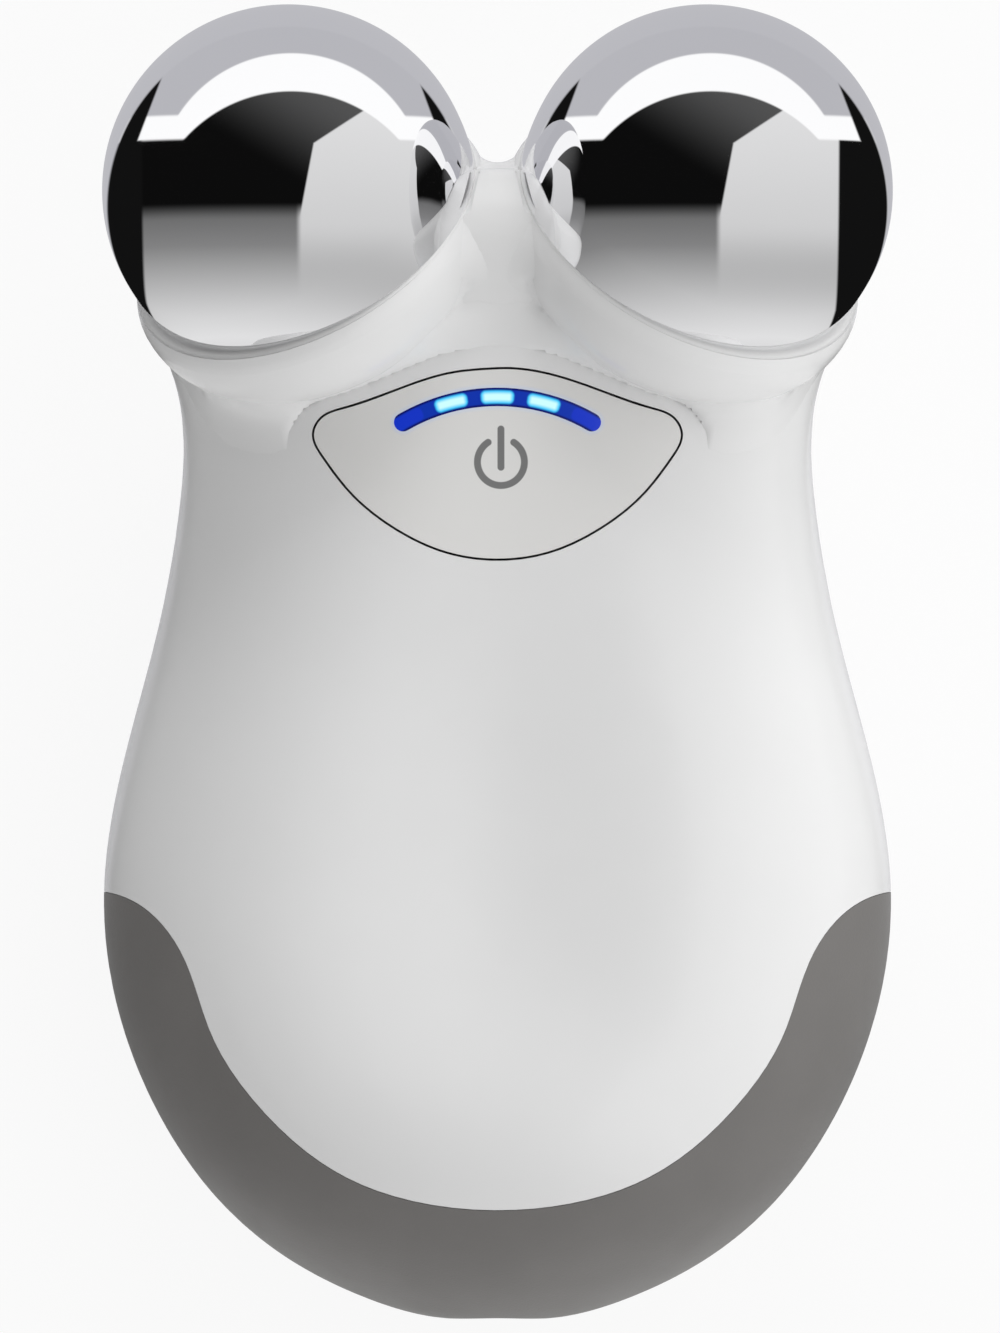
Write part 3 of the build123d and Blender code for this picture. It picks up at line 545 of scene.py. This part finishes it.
def join_rings(form, ring, following):
    for step in range(ROUND_STEPS):
        corners = []
        for vert in (ring[step % len(ring)], ring[(step + 1) % len(ring)],
                     following[(step + 1) % len(following)], following[step % len(following)]):
            if vert not in corners:
                corners.append(vert)
        form.faces.new(corners)


def lathe(name, profile, place):
    """Closed form turned about local Z, from points (radius, level) that start and end on the axis."""
    form = bmesh.new()
    rings = [turned_ring(form, radius, level) for radius, level in profile]
    for ring, following in zip(rings, rings[1:]):
        join_rings(form, ring, following)
    bmesh.ops.recalc_face_normals(form, faces=form.faces)
    for face in form.faces:
        face.smooth = True
    mesh = bpy.data.meshes.new(name)
    form.to_mesh(mesh)
    form.free()
    mesh.set_sharp_from_angle(angle=SHARP_ANGLE)
    mesh.transform(place)
    return linked_object(name, mesh)


def arc_points(centre, radius, start, end, steps):
    """Points of an arc between two angles, in degrees."""
    turns = [radians(start + (end - start) * step / steps) for step in range(steps + 1)]
    return [(centre[0] + radius * cos(turn), centre[1] + radius * sin(turn)) for turn in turns]


def for_hand(vector, hand):
    """A place or direction of the right electrode (hand 1), mirrored for the left one (hand -1)."""
    return Vector((hand * vector.x, vector.y, vector.z))


def electrode_place(hand):
    turn = for_hand(BALL_AXIS, hand).to_track_quat("Z", "Y").to_matrix().to_4x4()
    return Matrix.Translation(for_hand(BALL_CENTRE, hand)) @ turn


def polished_ball(hand, node, material):
    """Mirror-smooth ball whose lower side runs into the skirt in one soft curve."""
    taper = BALL_RADIUS - SKIRT_RADIUS
    skirt_curve = (SKIRT_DROP**2 + taper**2) / (2 * taper)
    skirt_angle = -degrees(asin(SKIRT_DROP / skirt_curve))
    upper = arc_points((0, 0), BALL_RADIUS, 90, 0, BALL_STEPS)
    lower = arc_points((BALL_RADIUS - skirt_curve, 0), skirt_curve, 0, skirt_angle, SKIRT_STEPS)
    profile = [(0, BALL_RADIUS), *upper[1:], *lower[1:], (SPIGOT_RADIUS, -SKIRT_DROP)]
    profile += [(SPIGOT_RADIUS, -SPIGOT_DROP), (0, -SPIGOT_DROP)]
    ball = lathe(f"{node}_polished", profile, electrode_place(hand))
    ball.data.materials.append(material)
    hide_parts(node)
    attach(ball, "housing")


def lip_points(turn, shift):
    """Points down a cup's rounded edge, at one turn about the electrode's axis."""
    ray = Vector((cos(turn), sin(turn), 0))
    aside = ray.dot(shift)
    inner = SKIRT_RADIUS + LIP_GAP
    outer = aside + sqrt(RIM_RADIUS**2 - CUP_SHIFT**2 + aside**2)
    width = max(outer - inner, LIP_WIDTH)
    points = []
    for step in range(LIP_STEPS + 1):
        bend = pi / 2 * step / LIP_STEPS
        level = (LIP_RISE + LIP_FALL) * cos(bend) - LIP_FALL - SKIRT_DROP
        points.append(ray * (inner + width * sin(bend)) + Vector((0, 0, level)))
    return points


def band_faces(columns, rows):
    """Four-cornered faces of a closed band of columns, each of rows + 1 points."""
    faces = []
    for column in range(columns):
        for row in range(rows):
            here = column * (rows + 1) + row
            beside = (column + 1) % columns * (rows + 1) + row
            faces.append((here, here + 1, beside + 1, beside))
    return faces


def cup_lip(hand, name, material):
    """Rounded edge of a cup, between the polished ball and the cup's outer side."""
    place = electrode_place(hand)
    outward = Vector((hand * BALL_AXIS.y, -BALL_AXIS.x, 0)).normalized()
    shift = place.to_3x3().inverted() @ outward * CUP_SHIFT
    points = []
    for step in range(ROUND_STEPS):
        points += lip_points(2 * pi * step / ROUND_STEPS, shift)
    mesh = smooth_mesh(name, points, band_faces(ROUND_STEPS, LIP_STEPS), material)
    mesh.transform(place)
    lip = linked_object(name, mesh)
    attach(lip, "housing")


# ---------------------------------------------------------------- soft blends round the cups
SHELLS = ("front_shell", "rear_shell", "power_button", "led_window")
BALLS = ("left_electrode", "right_electrode")
BLEND_VOXEL = 0.5 * MM
BLEND_ROUNDS = 90
BLEND_PULL = 0.9                 # share of the way to its neighbours' middle that a point goes in a round
BLEND_LOW = 8 * MM               # the blends stay above this place along Y
BLEND_LOW_WIDTH = 3 * MM         # and come to full strength over this width
BLEND_START = 0.4 * MM           # they start this far below the cup's rim
BLEND_FULL = 2.5 * MM            # and have their full strength this far below it
BLEND_SINK = 0.06 * MM           # how far the blend dips under the shells where nothing is filled
BLEND_SINK_END = 4 * BLEND_SINK  # height of fill at which it no longer dips
BLEND_RISE = 0.05 * MM           # fill that is worth keeping
BLEND_THICK = 4 * MM             # a thicker fill isn't kept
BLEND_RINGS = 3                  # rings of faces kept round the points with fill
BLEND_CLEAR = 0.9 * MM           # the blend stays this far from the button
BUTTON_CLEAR = 3.2 * MM          # and has its full strength this far from it
BLEND_TUCK = 0.6 * MM            # beside the button its edge goes this far under the shell
BLEND_TUCK_WIDTH = 1.6 * MM
SOCKET_DEEPER = 3 * MM           # the socket counts as reaching this far below the spigot
SOCKET_WIDER = 0.3 * MM          # and this far out of the skirt
OPEN_START = 0.1 * MM            # the ways into the open start this far off the surface
OPEN_WAYS = 3                    # of 26 directions, at least so many lead from an outer point into the open
OPEN_CORNERS = 3                 # least number of outer points at the corners of an outer face


def smooth_step(value, low, high):
    share = np.clip((value - low) / (high - low), 0, 1)
    return share * share * (3 - 2 * share)


def joined_mesh(nodes):
    form = bmesh.new()
    for node in nodes:
        form.from_mesh(NODES[node].data)
    mesh = bpy.data.meshes.new("joined")
    form.to_mesh(mesh)
    form.free()
    return mesh


def surface_of(mesh):
    """A mesh's surface, ready for searches and rays."""
    form = bmesh.new()
    form.from_mesh(mesh)
    surface = BVHTree.FromBMesh(form)
    form.free()
    return surface


def voxel_copy(mesh):
    """Even, dense copy of a mesh, as an array of points and one of four-cornered faces."""
    piece = linked_object("voxels", mesh)
    remesh = piece.modifiers.new("voxels", "REMESH")
    remesh.mode = "VOXEL"
    remesh.voxel_size = BLEND_VOXEL
    dense = bpy.data.meshes.new_from_object(piece.evaluated_get(bpy.context.evaluated_depsgraph_get()))
    points = np.empty(len(dense.vertices) * 3)
    dense.vertices.foreach_get("co", points)
    corners = np.empty(len(dense.loops), dtype=int)
    dense.loops.foreach_get("vertex_index", corners)
    bpy.data.objects.remove(piece)
    bpy.data.meshes.remove(dense)
    return points.reshape(-1, 3), corners.reshape(-1, 4)


def compacted(points, faces):
    """The points that the faces use, and the faces with their corners counted among these."""
    used, corners = np.unique(faces, return_inverse=True)
    return points[used], corners.reshape(-1, 4)


def edges_of(faces):
    """Each edge of four-cornered faces once, as a pair of points."""
    sides = [faces[:, [corner, (corner + 1) % 4]] for corner in range(4)]
    return np.unique(np.sort(np.vstack(sides)), axis=0)


def cup_place(points):
    """Drop below the ball's centre and distance from the axis, for the electrode on each point's side."""
    mirrored = points * np.where(points[:, :1] < 0, (-1, 1, 1), (1, 1, 1))
    offset = mirrored - np.array(BALL_CENTRE)
    axis = np.array(BALL_AXIS)
    height = offset @ axis
    return -height, np.linalg.norm(offset - np.outer(height, axis), axis=1)


def heights_above(points, mesh):
    """Signed distance of each point from a mesh's surface, and the surface's direction there."""
    surface = surface_of(mesh)
    heights = np.empty(len(points))
    normals = np.empty(points.shape)
    for index, point in enumerate(points):
        place, normal, _, distance = surface.find_nearest(point)
        heights[index] = distance if (Vector(point) - place).dot(normal) > 0 else -distance
        normals[index] = normal
    return heights, normals


def open_points(points, normals, mesh):
    """Whether several straight ways lead from each point past the mesh, as on its outside."""
    surface = surface_of(mesh)
    ways = [Vector(way).normalized() for way in product((-1, 0, 1), repeat=3) if any(way)]
    opened = np.zeros(len(points), dtype=bool)
    for index, (point, normal) in enumerate(zip(points, normals)):
        normal = Vector(normal)
        start = Vector(point) + OPEN_START * normal
        free = sum(surface.ray_cast(start, way)[0] is None for way in ways if way.dot(normal) > 0)
        opened[index] = free >= OPEN_WAYS
    return opened


def outer_faces(faces, points, normals):
    """The faces that lie on the outside of the closed object."""
    closed = joined_mesh([*SHELLS, *BALLS])
    opened = open_points(points, normals, closed)
    bpy.data.meshes.remove(closed)
    return faces[opened[faces].sum(axis=1) >= OPEN_CORNERS]


def faces_round(faces, keep):
    """The faces within BLEND_RINGS rings of the points to keep."""
    for _ in range(BLEND_RINGS):
        chosen = faces[keep[faces].any(axis=1)]
        keep = np.zeros(len(keep), dtype=bool)
        keep[chosen.ravel()] = True
    return chosen


def blend_weights(points, drop, from_button):
    """Strength of the blend at each point, from 0 to 1."""
    weights = smooth_step(drop, SKIRT_DROP + BLEND_START, SKIRT_DROP + BLEND_FULL)
    weights *= smooth_step(from_button, BLEND_CLEAR, BUTTON_CLEAR)
    weights *= smooth_step(points[:, 1], BLEND_LOW, BLEND_LOW + BLEND_LOW_WIDTH)
    return weights


def relaxed(points, edges, weights):
    """Points pulled towards the middle of their neighbours, round after round."""
    count = np.bincount(edges.ravel(), minlength=len(points))
    share = (weights / np.maximum(count, 1))[:, None]
    for _ in range(BLEND_ROUNDS):
        total = np.empty_like(points)
        for axis in range(3):
            ahead = np.bincount(edges[:, 0], points[edges[:, 1], axis], len(points))
            behind = np.bincount(edges[:, 1], points[edges[:, 0], axis], len(points))
            total[:, axis] = ahead + behind
        points = points + share * (total - count[:, None] * points)
    return points


def tucked(moved, points, from_button):
    """The moved points, brought back to the shell beside the button and sunk under it."""
    tuck = 1 - smooth_step(from_button, BLEND_CLEAR, BLEND_CLEAR + BLEND_TUCK_WIDTH)
    moved = moved + tuck[:, None] * (points - moved)
    moved[:, 2] -= BLEND_TUCK * tuck
    return moved


def cup_blend(material):
    """Soft fillets where the cups run into the saddle and the body."""
    shells = joined_mesh(SHELLS)
    points, faces = voxel_copy(shells)
    points, faces = compacted(points, faces[(points[faces, 1] > BLEND_LOW).all(axis=1)])
    drop, radius = cup_place(points)
    in_socket = (drop < SPIGOT_DROP + SOCKET_DEEPER) & (radius < SKIRT_RADIUS + SOCKET_WIDER)
    from_button = np.abs(heights_above(points, NODES["power_button"].data)[0])

    weights = blend_weights(points, drop, from_button) * ~in_socket
    moved = tucked(relaxed(points, edges_of(faces), BLEND_PULL * weights), points, from_button)
    height, normal = heights_above(moved, shells)
    bpy.data.meshes.remove(shells)

    keep = (height > BLEND_RISE) & (height < BLEND_THICK) & (drop > SKIRT_DROP) & ~in_socket
    faces = faces_round(outer_faces(faces, moved, normal), keep)
    faces = faces[(from_button[faces] > BLEND_CLEAR).all(axis=1)]
    sink = BLEND_SINK * (1 - smooth_step(height, 0.0, BLEND_SINK_END))
    points, faces = compacted(moved - normal * sink[:, None], faces)
    mesh = smooth_mesh("cup_blend", points.tolist(), faces.tolist(), material)
    piece = linked_object("cup_blend", mesh)
    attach(piece, "housing")


# ---------------------------------------------------------------- the object
HOUSING = moulded("white_gloss_plastic", (0.80, 0.80, 0.80), 0.22, mottle=0.006)
GRIP = moulded("grey_soft_touch", (0.165, 0.158, 0.152), 0.55, scale=5000, bump=0.02, mottle=0.04,
               Sheen_Weight=0.15)
BUTTON = moulded("button_plastic", (0.78, 0.775, 0.762), 0.3, spread=0.01, bump=0.0002, mottle=0.006)
CHROME = moulded("polished_chrome", (0.93, 0.93, 0.94), 0.022, spread=0.012, bump=0.0, mottle=0.004,
                 Metallic=1.0)
SEAL = moulded("black_silicone", (0.03, 0.03, 0.03), 0.6, scale=3000, bump=0.01, mottle=0.1)
DARK = moulded("black_moulding", (0.03, 0.03, 0.032), 0.45, scale=4000, bump=0.01, mottle=0.1)
SOCKET = moulded("ivory_moulding", (0.66, 0.63, 0.54), 0.4)
STEEL = moulded("plain_steel", (0.55, 0.55, 0.55), 0.32, spread=0.1, mottle=0.05, Metallic=1.0)
BRASS = moulded("plain_brass", (0.75, 0.58, 0.28), 0.3, spread=0.1, mottle=0.05, Metallic=1.0)
CAN = moulded("satin_foil", (0.6, 0.62, 0.65), 0.35, spread=0.1, mottle=0.03, Metallic=1.0)
LIGHT = moulded("clear_lights", (0.35, 0.85, 1.0), 0.2)
WIRE = moulded("red_insulation", (0.42, 0.02, 0.02), 0.45, mottle=0.06)

FINISHES = {
    HOUSING: ("front_shell", "rear_shell"),
    GRIP: ("grip_cover",),
    BUTTON: ("power_button",),
    SEAL: ("shell_seal", "left_electrode_seal", "right_electrode_seal", "battery_pad"),
    DARK: ("led_baffle", "tactile_switch", "switch_plunger", "microcontroller", "boost_coil", "buzzer",
           "battery_strap", "charge_jack"),
    SOCKET: ("battery_socket",),
    STEEL: ("board_screws", "strap_screws", "case_screws", "electrode_screws"),
    BRASS: ("charge_pin", "left_contact_ring", "right_contact_ring"),
    CAN: ("output_capacitors", "battery_cell"),
    CHROME: ("left_electrode", "right_electrode"),
    LIGHT: ("status_leds",),
    WIRE: ("electrode_leads", "battery_leads", "charge_leads"),
}
for finish, nodes in FINISHES.items():
    for node in nodes:
        finish_node(node, finish)
finish_node("main_board", circuit_board())
finish_node("led_window", light_window())
paint_parting_line(HOUSING)
paint_halo(BUTTON)
paint_sign(BUTTON)

for hand, node in ((-1, "left_electrode"), (1, "right_electrode")):
    polished_ball(hand, node, CHROME)
    cup_lip(hand, f"{node}_cup_lip", HOUSING)
cup_blend(HOUSING)

make_camera()
make_floor()
make_lamp()
make_world()
bpy.context.scene.view_settings.view_transform = "Standard"
